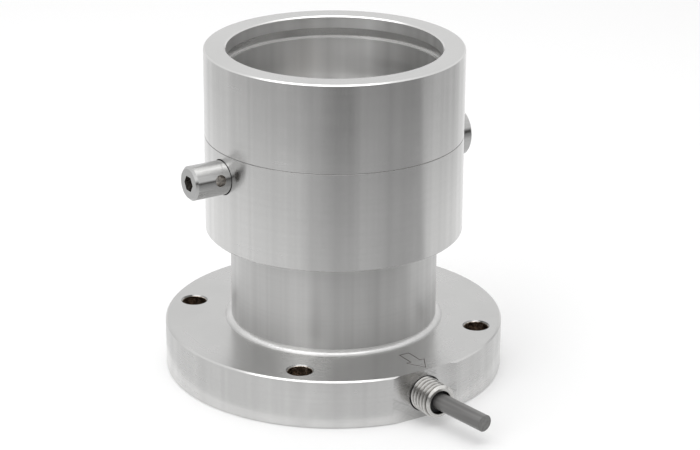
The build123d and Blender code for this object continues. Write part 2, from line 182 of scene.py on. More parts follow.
class NodeKit:
    """Short calls to add and join the nodes of one material."""

    def __init__(self, tree):
        self.tree = tree

    def add(self, kind):
        return self.tree.nodes.new(kind)

    def join(self, value, socket):
        """Joins an output to a socket, or sets the socket to a plain value."""
        if isinstance(value, bpy.types.NodeSocket):
            self.tree.links.new(value, socket)
        else:
            socket.default_value = value

    def math(self, operation, *values, clamp=False):
        node = self.add("ShaderNodeMath")
        node.operation = operation
        node.use_clamp = clamp
        for value, socket in zip(values, node.inputs):
            self.join(value, socket)
        return node.outputs[0]

    def vector(self, operation, *values):
        node = self.add("ShaderNodeVectorMath")
        node.operation = operation
        for value, socket in zip(values, node.inputs):
            self.join(value, socket)
        return node.outputs["Value" if operation in ("LENGTH", "DOT_PRODUCT") else "Vector"]

    def combine(self, *values):
        node = self.add("ShaderNodeCombineXYZ")
        for value, socket in zip(values, node.inputs):
            self.join(value, socket)
        return node.outputs[0]

    def split(self, vector):
        node = self.add("ShaderNodeSeparateXYZ")
        self.join(vector, node.inputs[0])
        return tuple(node.outputs)

    def coordinates(self, kind="Object"):
        return self.add("ShaderNodeTexCoord").outputs[kind]

    def noise(self, vector, scale, detail, roughness=0.5):
        node = self.add("ShaderNodeTexNoise")
        node.inputs["Scale"].default_value = scale
        node.inputs["Detail"].default_value = detail
        node.inputs["Roughness"].default_value = roughness
        self.join(vector, node.inputs["Vector"])
        return node.outputs["Fac"]

    def spread(self, value, low, high, to_low=0.0, to_high=1.0):
        """Maps low..high to to_low..to_high and holds the ends."""
        node = self.add("ShaderNodeMapRange")
        node.inputs["From Min"].default_value = low
        node.inputs["From Max"].default_value = high
        node.inputs["To Min"].default_value = to_low
        node.inputs["To Max"].default_value = to_high
        self.join(value, node.inputs["Value"])
        return node.outputs["Result"]

    def within(self, value, low, high):
        """One where the value lies between low and high, else nothing."""
        return self.math("MULTIPLY", self.math("GREATER_THAN", value, low),
                         self.math("LESS_THAN", value, high))

    def blend(self, factor, first, second):
        node = self.add("ShaderNodeMix")
        node.data_type = "RGBA"
        self.join(factor, node.inputs["Factor"])
        self.join(first, node.inputs["A"])
        self.join(second, node.inputs["B"])
        return node.outputs["Result"]

    def stains(self, place, scale, dark, light):
        """Mottled change between two colours."""
        share = self.spread(self.noise(place, scale, 3.0, 0.6), 0.4, 0.65)
        return self.blend(share, dark, light)

    def bump(self, height, distance, strength, normal=None):
        node = self.add("ShaderNodeBump")
        node.inputs["Strength"].default_value = strength
        node.inputs["Distance"].default_value = distance
        self.join(height, node.inputs["Height"])
        if normal is not None:
            self.join(normal, node.inputs["Normal"])
        return node.outputs["Normal"]


Turned = namedtuple("Turned", "place radius height unit")


def reopened(material):
    """Node helper and shader of a material."""
    return NodeKit(material.node_tree), material.node_tree.nodes["Principled BSDF"]


def new_material(name, metallic, roughness):
    """Empty principled material with its node helper and shader."""
    material = bpy.data.materials.new(name)
    material.use_nodes = True
    kit, shader = reopened(material)
    shader.inputs["Metallic"].default_value = metallic
    shader.inputs["Roughness"].default_value = roughness
    return material, kit, shader


def shade(colour, factor):
    """The colour made lighter or darker."""
    return tuple(min(1.0, c * factor) for c in colour[:3]) + (1.0,)


def feeding(shader, name):
    """The output that feeds an input of the shader."""
    return shader.inputs[name].links[0].from_socket


def roughen(kit, shader, share, amount):
    """Adds roughness where the share is one."""
    extra = kit.math("MULTIPLY", share, amount)
    kit.join(kit.math("ADD", feeding(shader, "Roughness"), extra), shader.inputs["Roughness"])


def turning(kit, centre=(0.0, 0.0, 0.0), axis="Z"):
    """Coordinates about a turning axis: place, radius, height along it, direction away from it."""
    place = kit.vector("SUBTRACT", kit.coordinates(), centre)
    x, y, z = kit.split(place)
    first, second, height = {"Z": (x, y, z), "X": (y, z, x), "Y": (z, x, y)}[axis]
    flat = kit.combine(first, second, 0.0)
    return Turned(place, kit.vector("LENGTH", flat), height, kit.vector("NORMALIZE", flat))


def turned_steel(name, colour, centre=(0.0, 0.0, 0.0), axis="Z", roughness=0.22, anisotropy=0.6,
                 groove=1.6 * MM, streak=0.006 * MM, depth=0.0008 * MM):
    """Turned metal: fine rings round the axis, faint streaks along it and soft clouds."""
    material, kit, shader = new_material(name, 1.0, roughness)
    spot = turning(kit, centre, axis)
    along = tuple(float(letter == axis) for letter in "XYZ")
    facing = kit.math("ABSOLUTE", kit.vector("DOT_PRODUCT", kit.coordinates("Normal"), along))
    on_face = kit.math("GREATER_THAN", facing, 0.5)
    on_wall = kit.math("SUBTRACT", 1.0, on_face)
    # The tool feeds outward across a face and along the axis on a wall
    feed = kit.math("ADD", kit.math("MULTIPLY", spot.radius, on_face),
                    kit.math("MULTIPLY", spot.height, on_wall))
    rings = kit.noise(kit.combine(feed, 0.0, on_face), 1.0 / groove, 1.0)
    fine = kit.noise(kit.combine(feed, 0.0, 0.3), 1.7 / groove, 0.0)
    round_bands = kit.noise(spot.unit, 9.0, 2.5, 0.6)
    clouds = kit.noise(spot.place, 45.0, 4.0, 0.6)

    # Faces across the axis get painted shade, darker than the walls, while chamfers keep the walls'
    # tone, and walls have faint upright bands
    cloud_share = kit.spread(clouds, 0.3, 0.7)
    wall_tone = kit.blend(cloud_share, shade(colour, 0.96), shade(colour, 1.03))
    shaded_face_tone = kit.blend(cloud_share, shade(colour, 0.82), shade(colour, 0.88))
    tone = kit.blend(kit.math("GREATER_THAN", facing, 0.9), wall_tone, shaded_face_tone)
    bands = kit.math("MULTIPLY", kit.spread(round_bands, 0.35, 0.65, 0.0, 0.5), on_wall)
    tone = kit.blend(bands, tone, shade(colour, 0.80))
    tone = kit.blend(kit.spread(fine, 0.4, 0.7, 0.0, 0.12), tone, shade(colour, 0.85))
    kit.join(tone, shader.inputs["Base Color"])

    # The polish changes a little from place to place and from ring to ring
    rough = kit.math("ADD", kit.spread(clouds, 0.3, 0.7, -0.04, 0.04), roughness)
    rough = kit.math("ADD", kit.spread(rings, 0.3, 0.7, -0.03, 0.03), rough)
    kit.join(rough, shader.inputs["Roughness"])

    marks = kit.math("ADD", rings, kit.math("MULTIPLY", fine, 0.5))
    normal = kit.bump(marks, depth, 0.7)
    if streak:
        normal = kit.bump(round_bands, streak, 1.0, normal)
    kit.join(normal, shader.inputs["Normal"])
    shader.inputs["Anisotropic"].default_value = anisotropy
    shader.inputs["Anisotropic Rotation"].default_value = 0.25
    round_axis = kit.vector("NORMALIZE", kit.vector("CROSS_PRODUCT", along, spot.place))
    kit.join(round_axis, shader.inputs["Tangent"])
    return material


def flange_steel(name, colour):
    """Turned steel with crossed milling marks on the flat, and dull dark bolt holes with painted
    shade on their rims.
    """
    material = turned_steel(name, colour, roughness=0.24, anisotropy=0.5)
    kit, shader = reopened(material)
    place = kit.coordinates()
    x, y, z = kit.split(place)

    # Strokes of the cutter in two directions, in patches of the flat
    slanted = [kit.math("ADD", x, kit.math("MULTIPLY", z, slope)) for slope in (1.6, -1.6)]
    crossed = [kit.noise(kit.combine(line, 0.0, 0.0), 800.0, 1.0) for line in slanted]
    on_flat = kit.math("LESS_THAN", y, FLAT_Y + 0.05 * MM)
    patches = kit.spread(kit.noise(place, 110.0, 1.0), 0.15, 0.55)
    strokes = kit.math("MULTIPLY", kit.math("MAXIMUM", *crossed),
                       kit.math("MULTIPLY", on_flat, patches))
    milled = kit.bump(strokes, 0.05 * MM, 1.0, feeding(shader, "Normal"))
    kit.join(milled, shader.inputs["Normal"])
    stroke_share = kit.spread(strokes, 0.40, 0.75, 0.0, 0.8)
    tone = kit.blend(stroke_share, feeding(shader, "Base Color"), shade(colour, 0.62))

    # All four bolt holes at once, folded onto one
    across = kit.combine(kit.math("ABSOLUTE", x), kit.math("ABSOLUTE", y), 0.0)
    away = kit.vector("LENGTH", kit.vector("SUBTRACT", across, (BOLT_XY, BOLT_XY, 0.0)))
    shaded_rim = kit.math("LESS_THAN", away, BOLT_HOLE_R + 0.6 * MM)
    in_hole = kit.math("LESS_THAN", away, BOLT_HOLE_R + 0.1 * MM)
    # Painted shade darkens the chamfered rims of the bolt holes
    tone = kit.blend(shaded_rim, tone, shade(colour, 0.52))
    rust = kit.stains(place, 700.0, (0.22, 0.17, 0.13, 1), (0.85, 0.74, 0.64, 1))
    kit.join(kit.blend(in_hole, tone, rust), shader.inputs["Base Color"])
    return material


def housing_steel(name, colour):
    """Turned steel with the painted shadow of the joint of sleeve and ring, and painted shade in
    the dull bore and its groove.
    """
    material = turned_steel(name, colour)
    kit, shader = reopened(material)
    spot = turning(kit)

    off_seam = kit.math("ABSOLUTE", kit.math("SUBTRACT", spot.height, SEAM_Z))
    at_seam = kit.math("MULTIPLY", kit.math("LESS_THAN", off_seam, SEAM_HALF),
                       kit.math("GREATER_THAN", spot.radius, SEAM_FLOOR_R))
    upward = kit.vector("DOT_PRODUCT", kit.coordinates("Normal"), (0.0, 0.0, 1.0))
    shadow = kit.blend(kit.math("GREATER_THAN", upward, 0.3),
                       (0.56, 0.555, 0.55, 1), (0.32, 0.317, 0.312, 1))
    tone = kit.blend(at_seam, feeding(shader, "Base Color"), shadow)

    # Painted shade in the bore: a darker colour, in soft upright bands
    in_bore = kit.math("MULTIPLY", kit.math("LESS_THAN", spot.radius, BORE_R),
                       kit.math("LESS_THAN", spot.height, BORE_TOP))
    bands = kit.spread(kit.noise(spot.unit, 6.0, 1.5), 0.35, 0.65)
    tone = kit.blend(in_bore, tone, kit.blend(bands, shade(colour, 0.76), shade(colour, 0.90)))

    # Painted shade in the groove of the bore
    in_groove = kit.math("MULTIPLY",
                         kit.within(spot.radius, GROOVE_R - 0.05 * MM, GROOVE_R + 0.2 * MM),
                         kit.within(spot.height, *GROOVE_SPAN))
    kit.join(kit.blend(in_groove, tone, shade(colour, 0.95)), shader.inputs["Base Color"])
    roughen(kit, shader, kit.math("MAXIMUM", in_bore, at_seam), 0.20)
    return material


def cross_pin_steel(name, colour):
    """Ground pin, dull and a darker mottled grey-brown inside its cross hole and its hexagon
    socket.
    """
    material = turned_steel(name, colour, PIN_CENTRE, "X", roughness=0.19, anisotropy=0.4,
                            groove=0.25 * MM, streak=0.0, depth=0.0015 * MM)
    kit, shader = reopened(material)
    spot = turning(kit, PIN_CENTRE, "X")

    off_hole = kit.vector("SUBTRACT", spot.place, (CROSS_HOLE_X, 0.0, 0.0))
    across = (0.0, sin(CROSS_HOLE_TILT), cos(CROSS_HOLE_TILT))
    aside = kit.vector("DOT_PRODUCT", off_hole, across)
    along = kit.vector("DOT_PRODUCT", off_hole, (1.0, 0.0, 0.0))
    away = kit.vector("LENGTH", kit.combine(aside, along, 0.0))
    in_hole = kit.math("LESS_THAN", away, CROSS_HOLE_R + 0.05 * MM)
    in_socket = kit.math("MULTIPLY", kit.math("LESS_THAN", spot.radius, SOCKET_R),
                         kit.within(spot.height, PIN_LOW.x + 0.05 * MM, PIN_LOW.x + SOCKET_DEPTH))

    # Inside the cross hole and the socket the colour turns to a darker grey-brown mottle
    in_hollow = kit.math("MAXIMUM", in_hole, in_socket)
    hollow_mottle = kit.stains(spot.place, 900.0, (0.17, 0.155, 0.14, 1), (0.66, 0.62, 0.57, 1))
    tone = kit.blend(kit.math("MULTIPLY", in_hollow, 0.8), feeding(shader, "Base Color"), hollow_mottle)
    kit.join(tone, shader.inputs["Base Color"])
    roughen(kit, shader, in_hollow, 0.1)
    return material


def thread_steel(name, colour, root, crest):
    """Turned steel of the nipple with painted shade that darkens it toward the bottom of the
    thread.
    """
    material = turned_steel(name, colour, NIPPLE_CENTRE, "Y", roughness=0.2, anisotropy=0.2,
                            groove=0.3 * MM, streak=0.0)
    kit, shader = reopened(material)
    spot = turning(kit, NIPPLE_CENTRE, "Y")
    # Painted shade toward the root of the thread, made uneven by noise; the nose in front of the
    # mouth stays unshaded
    shade_unevenness = kit.spread(kit.noise(spot.place, 900.0, 3.0, 0.6), 0.3, 0.7, -0.15, 0.15)
    near_front = kit.spread(spot.height, NIPPLE_LOW.y + 0.6 * MM, NIPPLE_LOW.y + 0.8 * MM, 1.0, 0.0)
    outside = kit.math("GREATER_THAN", spot.radius, NIPPLE_MOUTH_R + 0.05 * MM)
    unshaded = kit.math("MAXIMUM", kit.spread(spot.radius, root, crest - 0.1 * MM),
                     kit.math("MULTIPLY", near_front, outside))
    share = kit.math("ADD", unshaded, shade_unevenness, clamp=True)
    tone = kit.blend(share, (0.13, 0.12, 0.11, 1), feeding(shader, "Base Color"))
    kit.join(tone, shader.inputs["Base Color"])
    return material


def cast_metal(name, colour, roughness, grain=0.4 * MM):
    """Plain machined or drawn metal with a fine even grain."""
    material, kit, shader = new_material(name, 1.0, roughness)
    place = kit.coordinates()
    specks = kit.noise(place, 1.0 / grain, 3.0, 0.6)
    clouds = kit.spread(kit.noise(place, 90.0, 3.0), 0.3, 0.7)
    tone = kit.blend(clouds, shade(colour, 0.9), shade(colour, 1.06))
    rough = kit.math("ADD", kit.spread(specks, 0.3, 0.7, -0.06, 0.06), roughness)
    kit.join(tone, shader.inputs["Base Color"])
    kit.join(rough, shader.inputs["Roughness"])
    kit.join(kit.bump(specks, 0.01 * MM, 0.7), shader.inputs["Normal"])
    return material


def soft_plastic(name, colour, roughness, grain=0.3 * MM, bump=0.01 * MM):
    """Moulded plastic or rubber with a fine grain and slight colour change."""
    material, kit, shader = new_material(name, 0.0, roughness)
    place = kit.coordinates()
    grains = kit.noise(place, 1.0 / grain, 3.0, 0.6)
    clouds = kit.spread(kit.noise(place, 120.0, 3.0), 0.3, 0.7)
    tone = kit.blend(clouds, shade(colour, 0.92), shade(colour, 1.07))
    rough = kit.math("ADD", kit.spread(grains, 0.3, 0.7, -0.05, 0.05), roughness)
    kit.join(tone, shader.inputs["Base Color"])
    kit.join(rough, shader.inputs["Roughness"])
    kit.join(kit.bump(grains, bump, 0.6), shader.inputs["Normal"])
    return material


def drawn_jacket(name, colour):
    """Extruded cable jacket with streaks along its run."""
    material = soft_plastic(name, colour, 0.36, 0.25 * MM, 0.004 * MM)
    kit, shader = reopened(material)
    place = kit.coordinates()
    run = (Vector(CABLE_ROUTE[-1]) - Vector(CABLE_ROUTE[1])).normalized()
    along = kit.math("MULTIPLY", kit.vector("DOT_PRODUCT", place, tuple(run)), 0.02)
    across = kit.vector("DOT_PRODUCT", place, (-run.y, run.x, 0.0))
    height = kit.split(place)[2]
    streaks = kit.spread(kit.noise(kit.combine(across, along, height), 900.0, 1.0), 0.35, 0.65)
    tone = kit.blend(streaks, shade(colour, 0.90), shade(colour, 1.22))
    kit.join(tone, shader.inputs["Base Color"])
    return material


def foil_grid(name, pitch=0.5 * MM, half_width=2.2 * MM):
    """Amber backing with the folded metal grid of a strain gauge."""
    material, kit, shader = new_material(name, 0.0, 0.35)
    across = kit.split(kit.coordinates())[0]
    wave = kit.math("SINE", kit.math("MULTIPLY", across, 2 * pi / pitch))
    inside = kit.math("LESS_THAN", kit.math("ABSOLUTE", across), half_width)
    grid = kit.math("MULTIPLY", kit.math("GREATER_THAN", wave, 0.0), inside)
    tone = kit.blend(grid, (0.55, 0.28, 0.06, 1), (0.45, 0.42, 0.38, 1))
    kit.join(tone, shader.inputs["Base Color"])
    return material


# Modelling

def fresh(piece=None):
    """Object mode with nothing selected, or only the piece."""
    if bpy.context.object and bpy.context.object.mode != "OBJECT":
        bpy.ops.object.mode_set(mode="OBJECT")
    bpy.ops.object.select_all(action="DESELECT")
    if piece is not None:
        piece.select_set(True)
        bpy.context.view_layer.objects.active = piece


def name_piece(name):
    """Names the active object and its mesh."""
    piece = bpy.context.active_object
    piece.name = name
    piece.data.name = name
    return piece


def settle(piece, location=(0, 0, 0), rotation=(0, 0, 0), scale=(1, 1, 1)):
    """Moves, turns and scales a piece and puts its place into its mesh."""
    piece.location = location
    piece.rotation_euler = rotation
    piece.scale = scale
    fresh(piece)
    bpy.ops.object.transform_apply(location=True, rotation=True, scale=True)


def pick(piece, keep):
    """Selects the vertices that pass a test, in edit mode."""
    bpy.ops.mesh.select_mode(type="VERT")
    bpy.ops.mesh.select_all(action="DESELECT")
    bpy.ops.object.mode_set(mode="OBJECT")
    found = 0
    for vertex in piece.data.vertices:
        vertex.select = keep(vertex)
        found += vertex.select
    bpy.ops.object.mode_set(mode="EDIT")
    if not found:
        raise RuntimeError(f"nothing to shape on {piece.name}")


def lathe(name, corners, steps, closed=True):
    """Turns (radius, height) corners about Z: a circle extruded and resized at each."""
    fresh()
    radius, height = corners[0]
    bpy.ops.mesh.primitive_circle_add(vertices=steps, radius=radius, location=(0, 0, height))
    piece = name_piece(name)
    bpy.ops.object.transform_apply(location=True)
    bpy.ops.object.mode_set(mode="EDIT")
    bpy.ops.mesh.select_all(action="SELECT")
    rest = list(corners[1:]) + ([corners[0]] if closed else [])
    for next_radius, next_height in rest:
        bpy.ops.mesh.extrude_region_move(
            TRANSFORM_OT_translate={"value": (0, 0, next_height - height)})
        size = next_radius / radius
        bpy.ops.transform.resize(value=(size, size, 1), center_override=(0, 0, next_height))
        radius, height = next_radius, next_height
    bpy.ops.mesh.select_all(action="SELECT")
    bpy.ops.mesh.remove_doubles(threshold=0.001 * MM)
    bpy.ops.mesh.normals_make_consistent(inside=False)
    bpy.ops.object.mode_set(mode="OBJECT")
    return piece


def smooth(piece, angle):
    """Smooth shading that keeps sharp edges."""
    fresh(piece)
    bpy.ops.object.shade_smooth_by_angle(angle=radians(angle))


def apply_all(piece):
    """Applies the modifiers of a piece in order."""
    fresh(piece)
    for modifier in list(piece.modifiers):
        bpy.ops.object.modifier_apply(modifier=modifier.name)


def join(name, pieces):
    """Joins meshes into one piece."""
    fresh()
    for piece in pieces:
        piece.select_set(True)
    bpy.context.view_layer.objects.active = pieces[0]
    bpy.ops.object.join()
    return name_piece(name)


def ring_of(vertex):
    """Radius and height of a vertex about Z, in rounded millimetres."""
    return round(vertex.co.xy.length / MM, 2), round(vertex.co.z / MM, 2)


def face_out_of_flat(piece):
    """Turns a piece modelled about Z so that it points along -Y from the nipple's axis."""
    settle(piece, location=(0, 0, NIPPLE_Z), rotation=(radians(90), 0, 0))


def dress(piece, material, slot, *nodes):
    """Gives a new piece its finish and lets it stand for the nodes."""
    piece.data.materials.clear()
    piece.data.materials.append(material)
    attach(piece, "root")
    if nodes:
        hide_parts(*nodes)


# Operators

class LOADCELL_OT_stage(bpy.types.Operator):
    """Floor, camera, lamps and the pale studio that the metal reflects"""
    bl_idname = "loadcell.stage"
    bl_label = "Stage"

    def execute(self, context):
        scene = context.scene
        scene.view_settings.view_transform = "Standard"
        make_world(scene)
        make_floor()
        make_reflector()
        make_lamps()
        make_camera(scene)
        return {"FINISHED"}


def make_world(scene):
    """White surroundings for camera, gloss and glass, a little softer for the light itself."""
    world = bpy.data.worlds.new("studio")
    scene.world = world
    world.use_nodes = True
    kit = NodeKit(world.node_tree)
    paths = kit.add("ShaderNodeLightPath").outputs
    seen = kit.math("MAXIMUM", paths["Is Camera Ray"], paths["Is Glossy Ray"])
    seen = kit.math("MAXIMUM", seen, paths["Is Transmission Ray"])
    background = world.node_tree.nodes["Background"]
    background.inputs["Color"].default_value = (1, 1, 1, 1)
    kit.join(kit.spread(seen, 0.0, 1.0, 0.60, 1.0), background.inputs["Strength"])


def make_floor():
    """Wide pale floor that goes white away from the shadow."""
    fresh()
    bpy.ops.mesh.primitive_plane_add(size=8, location=(0, 0, 0))
    floor = name_piece("floor")
    material, _, shader = new_material("floor_paper", 0.0, 0.9)
    shader.inputs["Base Color"].default_value = (0.80, 0.80, 0.80, 1)
    shader.inputs["Specular IOR Level"].default_value = 0.0
    shader.inputs["Emission Color"].default_value = (1, 1, 1, 1)
    shader.inputs["Emission Strength"].default_value = 0.18
    floor.data.materials.append(material)


def tone_ramp(kit, share, tones):
    """Colour ramp with one stop for each (degrees, tone)."""
    ramp = kit.add("ShaderNodeValToRGB")
    stops = ramp.color_ramp.elements
    for element, (degrees, tone) in zip((stops[0], stops[1]), (tones[0], tones[-1])):
        element.position = (degrees + 180) / 360
        element.color = (tone, tone, tone, 1)
    for degrees, tone in tones[1:-1]:
        element = stops.new((degrees + 180) / 360)
        element.color = (tone, tone, tone, 1)
    kit.join(share, ramp.inputs["Fac"])
    return ramp.outputs["Color"]


def card_tones():
    """Glowing material of the bowl: tones by direction, from the table in the middle to the sky."""
    material = bpy.data.materials.new("card_tones")
    material.use_nodes = True
    material.node_tree.nodes.clear()
    kit = NodeKit(material.node_tree)
    place = kit.coordinates()
    radius = kit.vector("LENGTH", kit.vector("MULTIPLY", place, (1.0, 1.0, 0.0)))
    front = (cos(CAMERA_AZIMUTH), sin(CAMERA_AZIMUTH), 0.0)
    right = (-sin(CAMERA_AZIMUTH), cos(CAMERA_AZIMUTH), 0.0)
    ahead = kit.vector("DOT_PRODUCT", place, front)
    aside = kit.vector("DOT_PRODUCT", place, right)
    share = kit.spread(kit.math("ARCTAN2", aside, ahead), -pi, pi)

    near = tone_ramp(kit, share, NEAR_TONES)
    far = tone_ramp(kit, share, FAR_TONES)
    tone = kit.blend(kit.spread(radius, 0.17, 0.24), near, far)
    horizon = kit.math("MULTIPLY", kit.spread(radius, 0.275, 0.285),
                       kit.spread(radius, 0.34, 0.36, 1.0, 0.0))
    in_front = kit.math("GREATER_THAN", ahead, 0.0)
    tone = kit.blend(kit.math("MULTIPLY", horizon, in_front), tone, HORIZON_TONE)
    tone = kit.blend(kit.spread(radius, 0.36, 0.46), tone, SKY_TONE)
    tone = kit.blend(kit.spread(radius, 0.09, 0.13), tone_ramp(kit, share, TABLE_TONES), tone)

    glow = kit.add("ShaderNodeEmission")
    kit.join(tone, glow.inputs["Color"])
    out = kit.add("ShaderNodeOutputMaterial")
    kit.join(glow.outputs[0], out.inputs["Surface"])
    return material


def make_reflector():
    """Bowl of grey and white cards round the object, seen only by gloss, as in a product studio."""
    bowl = lathe("studio_cards", BOWL, steps=96, closed=False)
    bowl.data.materials.append(card_tones())
    bowl.visible_camera = False
    bowl.visible_diffuse = False
    bowl.visible_transmission = False
    bowl.visible_shadow = False


def make_lamps():
    """One wide overhead softbox and a weaker one at the left."""
    for name, place, size, power in LAMPS:
        fresh()
        bpy.ops.object.light_add(type="AREA", location=place)
        lamp = bpy.context.active_object
        lamp.name = name
        lamp.data.shape = "SQUARE"
        lamp.data.size = size
        lamp.data.energy = power
        aim = LAMP_AIM - Vector(place)
        lamp.rotation_euler = aim.to_track_quat("-Z", "Y").to_euler()


def make_camera(scene):
    """Camera at the photograph's place, lens and slight roll."""
    back = Vector((
        cos(CAMERA_ELEVATION) * cos(CAMERA_AZIMUTH),
        cos(CAMERA_ELEVATION) * sin(CAMERA_AZIMUTH),
        sin(CAMERA_ELEVATION),
    ))
    fresh()
    bpy.ops.object.camera_add(location=CAMERA_TARGET + back * CAMERA_DISTANCE)
    camera = bpy.context.active_object
    camera.data.lens = CAMERA_LENS
    camera.data.sensor_width = CAMERA_SENSOR
    camera.data.clip_start = 0.01
    camera.rotation_mode = "QUATERNION"
    roll = Quaternion((0, 0, 1), -CAMERA_ROLL)
    camera.rotation_quaternion = (-back).to_track_quat("-Z", "Y") @ roll
    scene.camera = camera


class LOADCELL_OT_cable(bpy.types.Operator):
    """Grey cable on its smooth line, square cut at its end"""
    bl_idname = "loadcell.cable"
    bl_label = "Cable"

    def execute(self, context):
        data = bpy.data.curves.new("cable_jacket", "CURVE")
        data.dimensions = "3D"
        line = data.splines.new("NURBS")
        line.points.add(len(CABLE_ROUTE) - 1)
        for point, place in zip(line.points, CABLE_ROUTE):
            point.co = (*place, 1.0)
        line.order_u = 3
        line.use_endpoint_u = True
        line.resolution_u = 24
        data.bevel_depth = looks().cable_d / 2
        data.bevel_resolution = 12
        data.use_fill_caps = True
        cable = bpy.data.objects.new("cable_jacket", data)
        context.collection.objects.link(cable)
        dress(cable, drawn_jacket("cable_vinyl", looks().jacket), "cable_jacket", "cable")
        return {"FINISHED"}


class LOADCELL_OT_weld(bpy.types.Operator):
    """Rippled weld bead round the foot of the neck"""
    bl_idname = "loadcell.weld"
    bl_label = "Weld"

    def execute(self, context):
        inside = NECK_R - 0.1 * MM
        width = WELD_HIGH.x - NECK_R
        rise = WELD_HIGH.z - WELD_LOW.z
        arc_steps = 8
        corners = [(inside, FLANGE_TOP)]
        for i in range(arc_steps + 1):
            angle = pi / 2 * i / arc_steps
            hollow = 1.0 - 0.12 * sin(2 * angle)
            corners.append((NECK_R + width * cos(angle) * hollow,
                            FLANGE_TOP + rise * sin(angle) * hollow))
        corners.append((inside, FLANGE_TOP + rise))

        # Four spokes to a ripple: its top, one flank, and two left down
        spokes = looks().weld_ripples * 4
        bead = lathe("weld_bead", corners, steps=spokes)
        bpy.ops.object.mode_set(mode="EDIT")
        for offset, share in ((0, 1.0), (1, 0.55)):
            pick(bead, lambda v: self.spoke_of(v, spokes) % 4 == offset and self.is_outer(v))
            bpy.ops.transform.shrink_fatten(value=looks().ripple_height * share)
        bpy.ops.object.mode_set(mode="OBJECT")
        smooth(bead, 60)
        metal = cast_metal("weld_metal", shade(looks().steel, 0.98), 0.36, 1.6 * MM)
        dress(bead, metal, "weld_steel", "neck_weld")
        return {"FINISHED"}

    def spoke_of(self, vertex, spokes):
        """Number of the spoke that a vertex of the bead lies on."""
        return round(vertex.co.xy.angle_signed(Vector((1, 0))) / (2 * pi / spokes))

    def is_outer(self, vertex):
        """Whether a vertex lies on the bead's open side, off the neck and the flange."""
        off_neck = vertex.co.xy.length > NECK_R + 0.05 * MM
        return off_neck and vertex.co.z > FLANGE_TOP + 0.02 * MM


class LOADCELL_OT_nipple(bpy.types.Operator):
    """Threaded cable nipple with its chamfered mouth"""
    bl_idname = "loadcell.nipple"
    bl_label = "Nipple"

    nose_chamfer = 0.8 * MM

    def execute(self, context):
        front = -NIPPLE_LOW.y
        back = -NIPPLE_HIGH.y
        crest = NIPPLE_R
        core = crest - looks().thread_depth
        nose = crest - self.nose_chamfer
        mouth = NIPPLE_MOUTH_R
        channel = mouth - 0.75 * MM
        mouth_depth = 9.7 * MM

        body = lathe("nipple_body", [
            (channel, back),
            (core, back),
            (core, front - 0.9 * MM),
            (nose, front - 0.55 * MM),
            (nose, front - 0.08 * MM),
            (nose - 0.08 * MM, front),
            (mouth + 0.2 * MM, front),
            (mouth, front - 0.2 * MM),
            (mouth, front - mouth_depth),
            (channel, front - mouth_depth),
        ], steps=96)
        face_out_of_flat(body)
        smooth(body, 30)
        thread = self.make_thread(crest, front)
        nipple = join("nipple_thread", [body, thread])
        metal = thread_steel("nipple_metal", (0.74, 0.73, 0.71, 1), core, crest)
        dress(nipple, metal, "nipple_steel", "cable_nipple")
        return {"FINISHED"}

    def make_thread(self, crest, front, turns=8, steps=72, start=radians(64)):
        """Helical ridge, cut back to the nose's chamfer and closed at both ends."""
        pitch = looks().thread_pitch
        depth = looks().thread_depth
        flank = 0.40 * pitch
        tip = 0.07 * pitch
        middle = crest - depth / 2

        # The ridge's section, narrowed at its tip and wound up round the axis
        fresh()
        bpy.ops.mesh.primitive_plane_add(size=1, rotation=(radians(90), 0, 0))
        ridge = name_piece("thread_ridge")
        settle(ridge, (middle, 0, 0), ridge.rotation_euler.copy(), (depth, 2 * flank, 1))
        bpy.ops.object.mode_set(mode="EDIT")
        pick(ridge, lambda v: v.co.x > middle)
        bpy.ops.transform.resize(value=(1, 1, tip / flank), center_override=(crest, 0, 0))
        bpy.ops.object.mode_set(mode="OBJECT")
        screw = ridge.modifiers.new("helix", "SCREW")
        screw.axis = "Z"
        screw.steps = screw.render_steps = steps
        screw.iterations = turns
        screw.screw_offset = pitch
        screw.use_normal_calculate = True
        apply_all(ridge)
        settle(ridge, location=(0, 0, front + (0.5 - turns) * pitch), rotation=(0, 0, start))

        # Crests past the chamfer shrink onto it, ring by ring
        chamfer_foot = front - self.nose_chamfer
        rings = {ring_of(v) for v in ridge.data.vertices if v.co.z > chamfer_foot}
        bpy.ops.object.mode_set(mode="EDIT")
        for ring in sorted(rings):
            radius, height = ring[0] * MM, ring[1] * MM
            limit = crest - (height - chamfer_foot)
            if radius > limit:
                size = limit / radius
                pick(ridge, lambda v: ring_of(v) == ring)
                bpy.ops.transform.resize(value=(size, size, 1), center_override=(0, 0, 0))

        # What stands past the front is cut off, and both ends are closed
        bpy.ops.mesh.select_all(action="SELECT")
        bpy.ops.mesh.bisect(plane_co=(0, 0, front - 0.05 * MM), plane_no=(0, 0, 1),
                            use_fill=True, clear_outer=True)
        bpy.ops.mesh.select_all(action="SELECT")
        bpy.ops.mesh.delete_loose()
        bpy.ops.mesh.select_all(action="DESELECT")
        bpy.ops.mesh.select_non_manifold(
            use_wire=False, use_multi_face=False, use_non_contiguous=False, use_verts=False)
        bpy.ops.mesh.edge_face_add()
        bpy.ops.mesh.select_all(action="SELECT")
        bpy.ops.mesh.normals_make_consistent(inside=False)
        bpy.ops.object.mode_set(mode="OBJECT")
        face_out_of_flat(ridge)
        smooth(ridge, 40)
        return ridge


